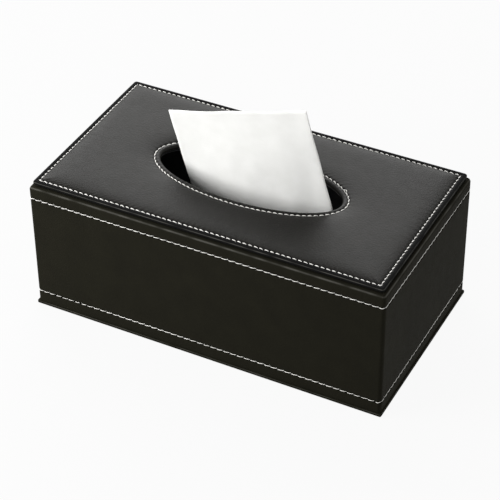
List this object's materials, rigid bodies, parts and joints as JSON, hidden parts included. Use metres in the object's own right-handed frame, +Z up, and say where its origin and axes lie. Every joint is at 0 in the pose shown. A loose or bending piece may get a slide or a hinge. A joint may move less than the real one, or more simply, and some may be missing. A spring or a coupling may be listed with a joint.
{
  "type": "tissue box cover",
  "caption": "Rectangular leatherette tissue box cover with contrast topstitching, a padded hinged lid and an oval opening that a tissue stands in.",
  "frame": {"origin": "middle of the underside, on the surface that the box stands on", "axes": "+Z up; +X along the length; the front, where the lid is lifted, faces -Y and the hinge is on the +Y side"},
  "size_m": [0.2418, 0.1328, 0.1558],
  "materials": {
    "leatherette": "fine-grained black PU leatherette, satin",
    "thread": "off-white polyester sewing thread",
    "fibreboard": "raw medium-density fibreboard",
    "flannel": "brushed black flannel",
    "felt": "black needle felt",
    "foam": "soft polyurethane foam",
    "steel": "bright steel",
    "magnet": "nickel-plated bar magnet",
    "tissue": "soft white tissue paper"
  },
  "bodies": {
    "box": {"underside_felt": "felt", "base_board": "fibreboard", "base_wrap": "leatherette", "corner_brads": "steel", "base_brads": "steel", "front_wall_board": "fibreboard", "rear_wall_board": "fibreboard", "left_wall_board": "fibreboard", "right_wall_board": "fibreboard", "side_wrap": "leatherette", "upper_seam_thread": "thread", "lower_seam_thread": "thread", "floor_lining": "flannel", "front_lining": "flannel", "rear_lining": "flannel", "left_lining": "flannel", "right_lining": "flannel", "wall_magnets": "magnet", "hinge_wall_leaf": "leatherette", "tissue_stack": "tissue"},
    "lid": {"lid_board": "fibreboard", "lid_pad": "foam", "lid_cover": "leatherette", "lid_lining_board": "fibreboard", "lid_lining": "flannel", "lid_border_thread": "thread", "opening_thread": "thread", "lid_keepers": "steel", "hinge_lid_leaf": "leatherette"},
    "tissue": {"tissue_sheet": "tissue"}
  },
  "joints": [
    {"name": "lid_hinge", "type": "hinge", "parent": "box", "child": "lid", "pos_m": [0, 0.06397, 0.09291], "axis": [-1, 0, 0], "range_deg": [0, 110]},
    {"name": "tissue_pull", "type": "slide", "parent": "lid", "child": "tissue", "axis": [-0.2773, 0, 0.9608], "range_m": [0, 0.07]}
  ]
}
